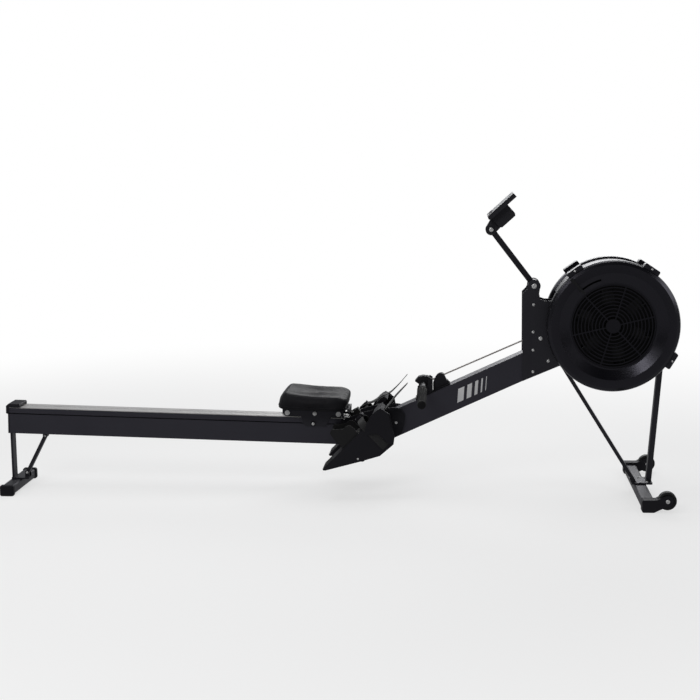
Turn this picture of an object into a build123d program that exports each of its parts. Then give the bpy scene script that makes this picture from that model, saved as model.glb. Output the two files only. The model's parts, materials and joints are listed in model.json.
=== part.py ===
from build123d import *
import math
import os

# Air rowing machine, millimetres. +X runs from the rear foot to the fan cage, +Y is the side away
# from the grille seen first, +Z is up. The origin is on the floor, under the middle of the machine.

os.makedirs("parts", exist_ok=True)

# ---------------------------------------------------------------- driving dimensions
rear_x = -1190                 # square end of the rail
rail_slope = 1.714             # the rail falls towards the front, degrees
rail_z = 175.06                # underside of the rail above the origin
rail_width = 83
rail_height = 92.5
track_width = 80
track_thickness = 2.5
slot_height = 4                # side slots for the carriage shoes
slot_depth = 8
slot_middle = 73               # above the rail's underside

boom_angle = 24.41             # the boom climbs towards the cage, degrees
boom_x = 153                   # where the undersides of rail and boom meet
boom_z = 170.48
boom_width = 70
boom_height = 91
boom_length = 690

plate_inner = 36               # upright plates, half spacing and thickness
plate_thickness = 5
plate_outer = plate_inner + plate_thickness

axle_x = 974                   # flywheel axle
axle_z = 604
axle_radius = 8.5
cage_radius = 228
cage_half = 110
grille_radius = 147
fan_radius = 186

idler_x, idler_z = 728, 555    # roller that carries the working run of the chain
return_x, return_z = 755, 475  # roller that carries the slack run
chain_height = 6
chain_width = 7.7
sprocket_radius = 20.3         # pitch radius, 20 teeth of 6.35 mm chain
chain_angle = 23.7
idler_line = 13.1              # from an idler's middle to the chain's middle

handle_x, handle_z = 317, 388
handle_half = 240
handle_droop = 34

seat_u = -75                   # positions along the rail
seat_half_length = 121
seat_half_width = 129
roller_radius = 15
roller_front_u = 11.7
roller_rear_u = -171.3
shoe_u = -78

foot_half_rear = 146
foot_half_front = 300
wheel_x, wheel_z = 1141, 38
wheel_radius = 31

tube_half = foot_half_front - 38
front_left, front_right = 1059, 1102
tube_top = 35
strut_floor = tube_top + 6     # the struts stand on a plate on the front foot
strut_half = 15
rear_strut_half = 33

board_x, board_z = -33, 112    # heel end of the foot boards
board_angle = 45
board_inner = 62
board_outer = 170

pivot_x, pivot_z = 705, 739    # monitor arm, lower and upper pivots
head_x, head_z = 556, 935
face_angle = 41.6

running = 0.05                 # radial clearance of shafts in their holes


def save(piece, label):
    """Name one finished piece and write its file."""
    piece.part.label = label
    export_step(piece.part, f"parts/{label}.step")


def direction(degrees):
    """Unit vector in the side view, from the floor line upwards."""
    return Vector(math.cos(math.radians(degrees)), 0, math.sin(math.radians(degrees)))


def side(y, x=0, z=0, degrees=0):
    """Plane of a side view at a given y: its X runs at an angle to the floor, its normal is -Y."""
    return Plane(origin=(x, y, z), x_dir=direction(degrees), z_dir=(0, -1, 0))


def across(x, z, degrees):
    """Plane square to a direction in the side view: its X is the machine's Y, its Y is upwards."""
    return Plane(origin=(x, 0, z), x_dir=(0, 1, 0), z_dir=direction(degrees))


def on_rail(u, v):
    """World x and z of a point u along the rail and v above its underside."""
    point = Vector(0, 0, rail_z) + direction(-rail_slope) * u + direction(90 - rail_slope) * v
    return point.X, point.Z


def on_boom(u, v):
    """World x and z of a point u along the boom and v above its underside."""
    point = Vector(boom_x, 0, boom_z) + direction(boom_angle) * u + direction(90 + boom_angle) * v
    return point.X, point.Z


rail_top = rail_height + track_thickness
rail_origin = on_rail(0, 0)
boom_origin = (boom_x, boom_z)
mitre = Plane(origin=(boom_x, 0, boom_z), x_dir=(0, 1, 0), z_dir=direction(6))

# ---------------------------------------------------------------- rail
with BuildPart() as monorail:
    with BuildSketch(across(*on_rail(rear_x, 0), -rail_slope)):
        Rectangle(rail_width, rail_height, align=(Align.CENTER, Align.MIN))
        with Locations((0, 34)):
            Rectangle(rail_width - 8, 60, mode=Mode.SUBTRACT)
        with Locations((0, 78)):
            Rectangle(rail_width - 2 * slot_depth - 8, 20, mode=Mode.SUBTRACT)
        with Locations((-(rail_width - slot_depth) / 2, slot_middle), ((rail_width - slot_depth) / 2, slot_middle)):
            Rectangle(slot_depth, slot_height, mode=Mode.SUBTRACT)
    extrude(amount=boom_x - rear_x + 60)
    split(bisect_by=mitre, keep=Keep.BOTTOM)
save(monorail, "monorail")

track_end = 110
with BuildPart() as rail_track:
    with BuildSketch(across(*on_rail(rear_x, rail_height), -rail_slope)):
        Rectangle(track_width, track_thickness, align=(Align.CENTER, Align.MIN))
        with Locations((0, track_thickness)):
            Rectangle(12, 1.2, mode=Mode.SUBTRACT)
    extrude(amount=track_end - rear_x)
save(rail_track, "rail_track")

with BuildPart() as rear_end_cap:
    with BuildSketch(side(43, *rail_origin, -rail_slope)):
        with BuildLine():
            Polyline((rear_x, 0), (rear_x, rail_top), (-1150, rail_top), (-1150, 105), (-1153, 108), (-1193, 108),
                     (-1201, 100), (-1201, 74), (-1194, 70), (-1194, 0), close=True)
        make_face()
    extrude(amount=86)
    with BuildSketch(across(*on_rail(rear_x, 34), -rail_slope)):
        Rectangle(rail_width - 10, 58)
    extrude(amount=20)
save(rear_end_cap, "rear_end_cap")

stop_u = 51                    # face the carriage meets at the front of its travel
stop_v = rail_top
with BuildPart() as front_seat_stop:
    with BuildSketch(side(16, *rail_origin, -rail_slope)):
        with BuildLine():
            Polyline((stop_u, stop_v), (87, stop_v), (86, rail_top + 22), (77, rail_top + 34), (66, rail_top + 26),
                     (64, rail_top + 18), (stop_u, rail_top + 18), close=True)
        make_face()
    extrude(amount=32)
save(front_seat_stop, "front_seat_stop")

# ---------------------------------------------------------------- rear stand
rail_underside = Plane(origin=(0, 0, rail_z), x_dir=direction(-rail_slope), z_dir=direction(90 - rail_slope))
leg_left, leg_right = -1194, -1186
foot_left, foot_right = -1198, -1154
foot_middle = (foot_left + foot_right) / 2
foot_top = 37
brace_low = (-1140, 57)
brace_high = (-1067, 195)
with BuildPart() as rear_stand:
    with BuildSketch(Plane.XY.offset(foot_top)):
        with Locations(((leg_left + leg_right) / 2, 0)):
            Rectangle(leg_right - leg_left, 39)
    extrude(amount=200)
    split(bisect_by=rail_underside, keep=Keep.BOTTOM)
    with BuildSketch(Plane.XY.offset(foot_top)):
        with Locations((-1161, 0)):
            RectangleRounded(66, 64, 5)
    extrude(amount=5)
    for outer_y in (13.3, -10.3):
        with BuildSketch(side(outer_y, *brace_low)):
            Circle(8)
            with Locations((0, -9)):
                Rectangle(16, 18)
            Circle(3, mode=Mode.SUBTRACT)
        extrude(amount=3)
    with BuildSketch(side(foot_half_rear - 16)):
        with Locations((foot_middle, 20)):
            RectangleRounded(foot_right - foot_left, 34, 7)
            RectangleRounded(foot_right - foot_left - 5, 29, 5, mode=Mode.SUBTRACT)
    extrude(amount=2 * (foot_half_rear - 16))
save(rear_stand, "rear_stand")

brace_run = math.dist(brace_low, brace_high)
brace_angle = math.degrees(math.atan2(brace_high[1] - brace_low[1], brace_high[0] - brace_low[0]))
with BuildPart() as rear_brace:
    with BuildSketch(side(10, *brace_low, brace_angle)):
        with Locations((brace_run / 2, 0)):
            SlotCenterToCenter(brace_run, 12)
        with Locations((0, 0), (brace_run, 0)):
            Circle(3, mode=Mode.SUBTRACT)
    extrude(amount=20)
save(rear_brace, "rear_brace")

with BuildPart() as brace_bracket:
    for outer_y in (13.3, -10.3):
        with BuildSketch(side(outer_y, *brace_high)):
            Circle(8)
            with Locations((0, 9)):
                Rectangle(16, 18)
            Circle(3, mode=Mode.SUBTRACT)
        extrude(amount=3)
    with BuildSketch(side(22, *on_rail(brace_high[0], 0), -rail_slope)):
        with Locations((0, -1.5)):
            Rectangle(32, 3)
    extrude(amount=44)
    split(bisect_by=rail_underside, keep=Keep.BOTTOM)
save(brace_bracket, "brace_bracket")

with BuildPart() as rear_foot_caps:
    for end in (-1, 1):
        with BuildSketch(side(max(end * foot_half_rear, end * (foot_half_rear - 16)))):
            with Locations((foot_middle, 20)):
                RectangleRounded(52, 40, 8)
        extrude(amount=16)
        with BuildSketch(side(max(end * (foot_half_rear - 16), end * (foot_half_rear - 36)))):
            with Locations((foot_middle, 20)):
                RectangleRounded(38, 28, 4)
        extrude(amount=20)
    fillet(rear_foot_caps.edges().group_by(Axis.Y)[0] + rear_foot_caps.edges().group_by(Axis.Y)[-1], 4)
save(rear_foot_caps, "rear_foot_caps")

# ---------------------------------------------------------------- boom and joint
tube_low = (106, 150)          # cross tubes that carry the foot boards
tube_high = (190, 225)
joint_bolt = (220, 254)
plate_bolts = [(703, 674), (702, 578), (702, 514), (702, 437)]
strut_pins = [(790, 481), (1150.2, 500)]
with BuildPart() as boom:
    with BuildSketch(across(*on_boom(-40, 0), boom_angle)):
        Rectangle(boom_width, boom_height, align=(Align.CENTER, Align.MIN))
        with Locations((0, boom_height / 2)):
            Rectangle(boom_width - 8, boom_height - 8, mode=Mode.SUBTRACT)
    extrude(amount=boom_length + 40)
    split(bisect_by=mitre, keep=Keep.TOP)
    with BuildSketch(side(40)):
        with Locations(joint_bolt, *plate_bolts[2:], (return_x, return_z)):
            Circle(4)
        with Locations(tube_high):
            Circle(11)
    extrude(amount=80, mode=Mode.SUBTRACT)
save(boom, "boom")

joint_outline = [on_rail(22, 2), on_rail(22, 90), on_rail(38, 96), (127, 298), (206, 309.5), (236, 306), (252, 282),
                 (249, 246), (238, 211), (boom_x, boom_z + 1), (130, 140), (88, 134), (84, 172)]
pad_outline = [(176, 190), (170, 290), (206, 305), (236, 304), (250, 282), (247, 246), (236, 214)]
with BuildPart() as joint_plates:
    for end in (-1, 1):
        with BuildSketch(side(max(end * 41.5, end * 45))):
            with BuildLine():
                Polyline(*joint_outline, close=True)
            make_face()
        extrude(amount=3.5)
        with BuildSketch(side(max(end * 35, end * 41.5))):
            with BuildLine():
                Polyline(*pad_outline, close=True)
            make_face()
        extrude(amount=6.5)
    with BuildSketch(side(50)):
        with Locations(tube_low, tube_high):
            Circle(11)
        with Locations(joint_bolt):
            Circle(4)
    extrude(amount=100, mode=Mode.SUBTRACT)
save(joint_plates, "joint_plates")

# ---------------------------------------------------------------- upright plates
plate_outline = [(665, 403.5), (665, 714), (679, 728), (685, 740), (726, 740), (722, 712), (726, 693), (744, 687),
                 (800, 687), (960, 649), (1000, 644), (1158, 522), (1165, 510), (1160, 495), (1146, 485),
                 (1000, 560), (950, 556), (815, 466), (797, 459)]
with BuildPart() as upright_plates:
    for outer_y in (plate_outer, -plate_inner):
        with BuildSketch(side(outer_y)):
            with BuildLine():
                Polyline(*plate_outline, close=True)
            make_face()
            with Locations((pivot_x, pivot_z)):
                Circle(22)
            with Locations((axle_x, axle_z)):
                Circle(44)
            with Locations((axle_x, axle_z)):
                Circle(17.5, mode=Mode.SUBTRACT)
            with Locations(*plate_bolts, *strut_pins, (idler_x, idler_z), (return_x, return_z)):
                Circle(4, mode=Mode.SUBTRACT)
            with Locations((pivot_x, pivot_z)):
                Circle(5, mode=Mode.SUBTRACT)
        extrude(amount=plate_thickness)
save(upright_plates, "upright_plates")

with BuildPart() as plate_spacers:
    for x, z in plate_bolts[:2]:
        with BuildSketch(side(plate_inner, x, z)):
            Circle(9)
            Circle(4, mode=Mode.SUBTRACT)
        extrude(amount=2 * plate_inner)
    for (x, z), half in zip(strut_pins, (rear_strut_half, strut_half)):
        for outer_y in (plate_inner, -half):
            with BuildSketch(side(outer_y, x, z)):
                Circle(9)
                Circle(4, mode=Mode.SUBTRACT)
            extrude(amount=plate_inner - half)
save(plate_spacers, "plate_spacers")

# cross bolts: x, z, shank radius, head radius, y span of what they clamp, head height
cross_bolts = [(*spot, 4, 6, (-plate_outer, plate_outer), 3.5)
               for spot in [*plate_bolts, *strut_pins, (return_x, return_z)]]
cross_bolts += [(idler_x, idler_z, 4, 9, (-plate_outer, plate_outer), 5),
                (pivot_x, pivot_z, 5, 10, (-plate_outer, plate_outer), 5),
                (*joint_bolt, 4, 6, (-45, 45), 3.5),
                (*brace_low, 3, 5, (-13.3, 13.3), 3),
                (*brace_high, 3, 5, (-13.3, 13.3), 3),
                (wheel_x, wheel_z, 5, 8, (-foot_half_front, -tube_half), 3),
                (wheel_x, wheel_z, 5, 8, (tube_half, foot_half_front), 3)]
with BuildPart() as frame_bolts:
    for x, z, shank, head, (low, high), head_height in cross_bolts:
        with BuildSketch(side(high + head_height, x, z)):
            Circle(shank)
        extrude(amount=high - low + 2 * head_height)
        for head_y in (high + head_height, low):
            with BuildSketch(side(head_y, x, z)):
                Circle(head)
            extrude(amount=head_height)
    with BuildSketch(Plane.XY.offset(strut_floor)):
        with Locations((1084, -36), (1084, 36), (1104, -36), (1104, 36)):
            Circle(5)
    extrude(amount=4)
save(frame_bolts, "frame_bolts")

# ---------------------------------------------------------------- chain drive
tip_radius = idler_line - chain_height / 2 - 0.3
for label, x, z in (("chain_idler", idler_x, idler_z), ("return_idler", return_x, return_z)):
    with BuildPart() as idler:
        with BuildSketch(side(10, x, z)):
            Circle(tip_radius)
            Circle(4 + running, mode=Mode.SUBTRACT)
        extrude(amount=20)
        for flange_y in (10, -6):
            with BuildSketch(side(flange_y, x, z)):
                Circle(14)
                Circle(4 + running, mode=Mode.SUBTRACT)
            extrude(amount=4)
    save(idler, label)

with BuildPart() as chain_sprocket:
    with BuildSketch(side(2, axle_x, axle_z)):
        Circle(sprocket_radius - 3.6)
        with PolarLocations(sprocket_radius - 4.7, 20):
            Rectangle(3, 2.4)
        Circle(axle_radius + running, mode=Mode.SUBTRACT)
    extrude(amount=4)
    for hub_y in (20, -2):
        with BuildSketch(side(hub_y, axle_x, axle_z)):
            Circle(14)
            Circle(axle_radius + running, mode=Mode.SUBTRACT)
        extrude(amount=18)
save(chain_sprocket, "chain_sprocket")

upper_gap = math.dist((idler_x, idler_z), (axle_x, axle_z))
upper_base = math.degrees(math.atan2(axle_z - idler_z, axle_x - idler_x))
upper_angle = upper_base + math.degrees(math.asin((sprocket_radius - idler_line) / upper_gap))
lower_gap = math.dist((return_x, return_z), (axle_x, axle_z))
lower_base = math.degrees(math.atan2(axle_z - return_z, axle_x - return_x))
lower_angle = lower_base - math.degrees(math.asin((sprocket_radius + idler_line) / lower_gap))


def beside(x, z, degrees, distance):
    """Point at a distance square to a direction, on its upper side."""
    point = Vector(x, 0, z) + direction(degrees + 90) * distance
    return point.X, point.Z


def crossing(first, first_angle, second, second_angle):
    """Where two lines in the side view meet."""
    d1, d2 = direction(first_angle), direction(second_angle)
    turn = d1.X * d2.Z - d1.Z * d2.X
    along = ((second[0] - first[0]) * d2.Z - (second[1] - first[1]) * d2.X) / turn
    return first[0] + along * d1.X, first[1] + along * d1.Z


top_line = beside(idler_x, idler_z, upper_angle, idler_line)
bottom_line = beside(return_x, return_z, lower_angle, idler_line)
boom_line = beside(return_x, return_z, boom_angle, idler_line)
visible_line = beside(idler_x, idler_z, chain_angle, idler_line)
behind = (axle_x + sprocket_radius, axle_z)
chain_corners = [top_line, crossing(top_line, upper_angle, behind, 90), crossing(bottom_line, lower_angle, behind, 90),
                 crossing(bottom_line, lower_angle, boom_line, boom_angle)]
slack_end = Vector(boom_line[0], 0, boom_line[1]) - direction(boom_angle) * 150
with BuildPart() as chain_loop:
    with BuildLine():
        FilletPolyline((top_line[0], 0, top_line[1]), *[(x, 0, z) for x, z in chain_corners[1:]],
                       (slack_end.X, 0, slack_end.Z), radius=sprocket_radius - 0.01)
    with BuildSketch(across(*top_line, upper_angle)):
        Rectangle(chain_width, chain_height)
    sweep()
save(chain_loop, "chain_loop")

yoke_tip_x = 347.8
run_length = (visible_line[0] - yoke_tip_x) / math.cos(math.radians(chain_angle))
with BuildPart() as chain_run:
    start = Vector(visible_line[0], 0, visible_line[1]) - direction(chain_angle) * run_length
    with BuildSketch(across(start.X, start.Z, chain_angle)):
        Rectangle(chain_width, chain_height)
    extrude(amount=run_length)
save(chain_run, "chain_run")

cord_line = Vector(slack_end.X - joint_bolt[0], 0, slack_end.Z - joint_bolt[1])
with BuildPart() as return_cord:
    with BuildSketch(side(5, *joint_bolt)):
        Circle(9)
        Circle(4, mode=Mode.SUBTRACT)
    extrude(amount=10)
    with BuildSketch(Plane(origin=(joint_bolt[0], 0, joint_bolt[1]), z_dir=cord_line).offset(6.5)):
        Circle(5)
    extrude(amount=cord_line.length - 6.8)
save(return_cord, "return_cord")

chain_line = side(5.5, *visible_line, chain_angle)
with BuildPart() as chain_guide:
    with BuildSketch(side(23)):
        with BuildLine():
            Polyline(on_boom(259, boom_height), (350.8, 392), (358, 410), (364.5, 419.5), (371, 425), (380, 427),
                     (387, 425.5), (393, 415), (398, 404), (404, 400.5), on_boom(326, boom_height + 5),
                     on_boom(326, boom_height), close=True)
        make_face()
    extrude(amount=46)
    for outer_y in (23, -13):
        with BuildSketch(side(outer_y, *on_boom(290, boom_height + 5), boom_angle)):
            with Locations((0, 40)):
                Rectangle(120, 80)
        extrude(amount=10, mode=Mode.SUBTRACT)
    with BuildSketch(chain_line):
        with Locations((-360, 26.7)):
            Rectangle(160, 60)
    extrude(amount=11, mode=Mode.SUBTRACT)
save(chain_guide, "chain_guide")

# ---------------------------------------------------------------- handle
with BuildPart() as handle_bar:
    with BuildLine():
        FilletPolyline((handle_x, -handle_half + 4, handle_z - handle_droop), (handle_x, -60, handle_z),
                       (handle_x, 60, handle_z), (handle_x, handle_half - 4, handle_z - handle_droop), radius=90)
    with BuildSketch(Plane(origin=(handle_x, -handle_half + 4, handle_z - handle_droop),
                           z_dir=(0, handle_half - 64, handle_droop))):
        Circle(11)
    sweep()
save(handle_bar, "handle_bar")

grip_length = math.hypot(handle_half - 64, handle_droop) - 26
with BuildPart() as handle_grips:
    for end in (-1, 1):
        end_plane = Plane(origin=(handle_x, end * (handle_half - 4), handle_z - handle_droop), x_dir=(1, 0, 0),
                          z_dir=(0, -end * (handle_half - 64), handle_droop))
        with BuildSketch(end_plane.offset(-4)):
            Circle(15.5)
        extrude(amount=grip_length)
        with BuildSketch(end_plane):
            Circle(11)
        extrude(amount=grip_length, mode=Mode.SUBTRACT)
    round_edges = handle_grips.edges().filter_by(GeomType.CIRCLE).filter_by(lambda e: e.radius > 15)
    fillet(round_edges, 3.5)
save(handle_grips, "handle_grips")

yoke_half = 16
with BuildPart() as handle_yoke:
    with BuildSketch(side(yoke_half, handle_x, handle_z)):
        with BuildLine():
            Polyline((-31, 11), (-18, 26), (-3, 30), (16, 28), (24, 20), (29, 19), (29, 8), (22, -6), (14, -15),
                     (-12, -15), (-18, 2), close=True)
        make_face()
        fillet(vertices(), 2)
        Circle(11, mode=Mode.SUBTRACT)
    extrude(amount=2 * yoke_half)
save(handle_yoke, "handle_yoke")

with BuildPart() as handle_rest:
    for outer_y in (30, -19):
        with BuildSketch(side(outer_y, handle_x, handle_z)):
            with BuildLine():
                Polyline((-25, -70), (-22, -14), (-17, -11), (-8, -9.8), (0, 0), (17, 0), (17, 22), (22, 27), (32, 20),
                         (32, -70), close=True)
            make_face()
            Circle(11.6, mode=Mode.SUBTRACT)
        extrude(amount=11)
    split(bisect_by=Plane(origin=Vector(boom_x, 0, boom_z) + direction(90 + boom_angle) * boom_height,
                          x_dir=direction(boom_angle), z_dir=direction(90 + boom_angle)), keep=Keep.TOP)
    with BuildSketch(side(34, *on_boom(0, boom_height), boom_angle)):
        with Locations((223, 3)):
            Rectangle(60, 6)
    extrude(amount=68)
save(handle_rest, "handle_rest")

# ---------------------------------------------------------------- flywheel
fan_near, fan_far = -84, -50
with BuildPart() as flywheel_axle:
    with BuildSketch(side(64, axle_x, axle_z)):
        Circle(axle_radius)
    extrude(amount=64 + 84)
save(flywheel_axle, "flywheel_axle")

with BuildPart() as axle_bearings:
    for outer_y in (plate_outer, -plate_inner):
        with BuildSketch(side(outer_y, axle_x, axle_z)):
            Circle(17.5)
            Circle(axle_radius + running, mode=Mode.SUBTRACT)
        extrude(amount=plate_thickness)
save(axle_bearings, "axle_bearings")

with BuildPart() as fan:
    with BuildSketch(side(fan_far, axle_x, axle_z)):
        Circle(fan_radius)
        Circle(axle_radius, mode=Mode.SUBTRACT)
    extrude(amount=3)
    with BuildSketch(side(fan_far - 3, axle_x, axle_z)):
        Circle(26)
        Circle(axle_radius, mode=Mode.SUBTRACT)
        with PolarLocations(150, 20):
            Rectangle(66, 3)
    extrude(amount=fan_far - 3 - fan_near)
save(fan, "fan")

with BuildPart() as inertia_disc:
    with BuildSketch(side(60, axle_x, axle_z)):
        Circle(150)
        Circle(axle_radius, mode=Mode.SUBTRACT)
    extrude(amount=8)
    with BuildSketch(side(52, axle_x, axle_z)):
        Circle(24)
        Circle(axle_radius, mode=Mode.SUBTRACT)
    extrude(amount=6)
save(inertia_disc, "inertia_disc")

# ---------------------------------------------------------------- cage
cage_profile = [(222, 0), (222, 60), (228, 63), (228, 92), (224, 104), (214, 110), (186, 110), (152, 95), (147, 95),
                (147, 90), (152, 90), (185, 105), (187, 106.5), (213, 106.5), (221, 101.5), (224.5, 91), (224.5, 65),
                (218.5, 62), (218.5, 0)]
cage_axis = Axis((axle_x, 0, axle_z), (0, 1, 0))
# cover lugs: angle, radius of the lug's middle, width
lugs = {"near": [(125, 231.5, 60), (57, 231.5, 60), (-31, 231.5, 60)],
        "far": [(125, 231.5, 60), (57, 231.5, 60), (22, 229, 36), (-31, 231.5, 60)]}


def ring_sector(low, high, inner, outer, steps=6):
    """Outline of a sector between two angles and two radii, about the axle."""
    angles = [low + (high - low) * i / steps for i in range(steps + 1)]
    outside = [(outer * math.cos(math.radians(a)), outer * math.sin(math.radians(a))) for a in angles]
    inside = [(inner * math.cos(math.radians(a)), inner * math.sin(math.radians(a))) for a in reversed(angles)]
    return outside + inside


lever_angle = 131.5
damper_travel = 24
for end, name in ((-1, "near"), (1, "far")):
    with BuildPart() as cage_cover:
        with BuildSketch(Plane(origin=(axle_x, 0, axle_z), x_dir=(1, 0, 0), z_dir=(0, 0, 1))):
            with BuildLine():
                Polyline(*[(r, end * y) for r, y in cage_profile], close=True)
            make_face()
        revolve(axis=cage_axis)
        with BuildSketch(side(max(end * 64, end * 100), axle_x, axle_z)):
            for angle, radius, width in lugs[name]:
                spot = direction(angle) * radius
                with Locations((spot.X, spot.Z)):
                    Rectangle(20, width, rotation=angle)
            fillet(vertices(), 6)
            Circle(226, mode=Mode.SUBTRACT)
        extrude(amount=36)
        with BuildSketch(side(max(0, end * 46.5), axle_x, axle_z)):
            with BuildLine():
                Polyline(*ring_sector(150, 242, 200, 245), close=True)
            make_face()
        extrude(amount=46.5, mode=Mode.SUBTRACT)
        with BuildSketch(side(max(0, end * 16), axle_x, axle_z)):
            with BuildLine():
                Polyline(*ring_sector(-47, -32, 200, 245), close=True)
            make_face()
        extrude(amount=16, mode=Mode.SUBTRACT)
        if end < 0:
            with BuildSketch(side(-80, axle_x, axle_z)):
                with BuildLine():
                    Polyline(*ring_sector(lever_angle - damper_travel - 2, lever_angle + 2, 164, 171), close=True)
                make_face()
            extrude(amount=40, mode=Mode.SUBTRACT)
    save(cage_cover, f"cage_cover_{name}")

ring_radii = [36 + 12.2 * i for i in range(9)]
with BuildPart() as cage_grilles:
    for outer_y in (90, -86.6):
        with BuildSketch(side(outer_y, axle_x, axle_z)):
            Circle(150)
            Circle(141, mode=Mode.SUBTRACT)
            for radius in ring_radii:
                with BuildSketch(mode=Mode.ADD):
                    Circle(radius + 1.8)
                    Circle(radius - 1.8, mode=Mode.SUBTRACT)
            Circle(25)
            with PolarLocations(83, 6, start_angle=13):
                Rectangle(124, 4.5)
        extrude(amount=3.4)
    for outer_y in (92, -90):
        with BuildSketch(side(outer_y, axle_x, axle_z)):
            Circle(25)
        extrude(amount=2)
save(cage_grilles, "cage_grilles")

with BuildPart() as cover_screws:
    for end, name in ((-1, "near"), (1, "far")):
        for angle, radius, width in lugs[name]:
            spot = Vector(axle_x, 0, axle_z) + direction(angle) * (radius + 2.5)
            with BuildSketch(side(max(end * 100, end * 103), spot.X, spot.Z)):
                Circle(4.5)
            extrude(amount=3)
        with BuildSketch(side(max(end * board_outer, end * (board_outer + 3)), 92, 150)):
            Circle(5)
        extrude(amount=3)
save(cover_screws, "cover_screws")

with BuildPart() as damper:
    with BuildSketch(side(-84.6, axle_x, axle_z)):
        Circle(174.5)
        Circle(30, mode=Mode.SUBTRACT)
        with PolarLocations(100, 6, start_angle=lever_angle - 30):
            Rectangle(70, 44, mode=Mode.SUBTRACT)
    extrude(amount=1.2)
    with BuildSketch(side(-85, axle_x, axle_z)):
        with BuildLine():
            Polyline(*ring_sector(lever_angle - 1, lever_angle + 1, 165, 170, 2), close=True)
        make_face()
    extrude(amount=30)
    with BuildSketch(side(-110.4, axle_x, axle_z)):
        with BuildLine():
            Polyline(*ring_sector(lever_angle - 1.6, lever_angle + 1.6, 152, 222, 2), close=True)
        make_face()
    extrude(amount=6)
save(damper, "damper")

# ---------------------------------------------------------------- struts and front foot
rear_strut_low = (1061, 41)
front_strut_low = (1112.5, 41)
for label, low, high, width, half in (("rear_strut", rear_strut_low, strut_pins[0], 12, rear_strut_half),
                                      ("front_strut", front_strut_low, strut_pins[1], 18.5, strut_half)):
    run = math.dist(low, high)
    angle = math.degrees(math.atan2(high[1] - low[1], high[0] - low[0]))
    with BuildPart() as strut:
        with BuildSketch(side(half, *low, angle)):
            with Locations((run / 2 - 20, 0)):
                Rectangle(run + 40, width)
            with Locations((run, 0)):
                Circle(width / 2 + 1)
                Circle(4, mode=Mode.SUBTRACT)
        extrude(amount=2 * half)
        split(bisect_by=Plane.XY.offset(strut_floor), keep=Keep.TOP)
    save(strut, label)

with BuildPart() as front_foot:
    with BuildSketch(side(tube_half)):
        with Locations(((front_left + front_right) / 2, 19)):
            RectangleRounded(front_right - front_left, 32, 6)
            RectangleRounded(front_right - front_left - 5, 27, 4, mode=Mode.SUBTRACT)
    extrude(amount=2 * tube_half)
    with BuildSketch(Plane.XY.offset(tube_top)):
        with Locations((1086, 0)):
            RectangleRounded(74, 96, 6)
    extrude(amount=strut_floor - tube_top)
save(front_foot, "front_foot")

pocket = 26.6
with BuildPart() as wheel_brackets:
    for end in (-1, 1):
        with BuildSketch(side(max(end * foot_half_front, end * tube_half))):
            with BuildLine():
                Polyline((1056, 4), (1060, 0), (1096, 0), (1112, 8), (1130, 16), (1150, 22), (1160, 38), (1152, 54),
                         (1136, 57), (1118, 50), (1104, 43), (1060, 43), (1056, 39), close=True)
            make_face()
            with Locations((wheel_x, wheel_z)):
                Circle(20)
        extrude(amount=38)
        with BuildSketch(side(end * (tube_half + 19) + pocket / 2, wheel_x, wheel_z)):
            Circle(wheel_radius + 1.5)
        extrude(amount=pocket, mode=Mode.SUBTRACT)
        with BuildSketch(side(max(end * foot_half_front, end * tube_half), wheel_x, wheel_z)):
            Circle(5)
        extrude(amount=38, mode=Mode.SUBTRACT)
        with BuildSketch(side(max(end * tube_half, end * (tube_half - 20)))):
            with Locations(((front_left + front_right) / 2, 19)):
                RectangleRounded(front_right - front_left - 6, 26, 3)
        extrude(amount=20)
save(wheel_brackets, "wheel_brackets")

for end, name in ((-1, "near"), (1, "far")):
    with BuildPart() as transport_wheel:
        middle = end * (tube_half + 19)
        with BuildSketch(side(middle + 13, wheel_x, wheel_z)):
            Circle(wheel_radius)
        extrude(amount=26)
        fillet(transport_wheel.edges(), 4)
        for face_y in (middle + 13, middle - 10):
            with BuildSketch(side(face_y, wheel_x, wheel_z)):
                Circle(23)
                Circle(11, mode=Mode.SUBTRACT)
            extrude(amount=3, mode=Mode.SUBTRACT)
        with BuildSketch(side(middle + 13, wheel_x, wheel_z)):
            Circle(5 + running)
        extrude(amount=26, mode=Mode.SUBTRACT)
    save(transport_wheel, f"transport_wheel_{name}")

# ---------------------------------------------------------------- foot stretcher
with BuildPart() as stretcher_tubes:
    for x, z in (tube_low, tube_high):
        with BuildSketch(side(board_outer - 5, x, z)):
            Circle(11)
            Circle(8.5, mode=Mode.SUBTRACT)
        extrude(amount=2 * (board_outer - 5))
save(stretcher_tubes, "stretcher_tubes")

skirt_outline = [(0, -4), (4, -10), (114, -74), (177, -108), (240, -113), (260, -98), (307, -27), (300, 0), (0, 0)]
inner_outline = [(0, -4), (4, -10), (114, -74), (177, -108), (236, -108), (262, -60), (262, 0), (0, 0)]
with BuildPart() as foot_boards:
    for end in (-1, 1):
        with BuildSketch(side(max(end * board_inner, end * board_outer), board_x, board_z, board_angle)):
            with Locations((150, -3.5)):
                Rectangle(300, 7)
        extrude(amount=board_outer - board_inner)
        for outline, low, high in ((skirt_outline, board_outer - 5, board_outer),
                                   (inner_outline, board_inner, board_inner + 4)):
            with BuildSketch(side(max(end * low, end * high), board_x, board_z, board_angle)):
                with BuildLine():
                    Polyline(*outline, close=True)
                make_face()
            extrude(amount=high - low)
    with BuildSketch(side(board_outer - 5)):
        with Locations(tube_low, tube_high):
            Circle(11)
    extrude(amount=2 * (board_outer - 5), mode=Mode.SUBTRACT)
save(foot_boards, "foot_boards")

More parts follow.
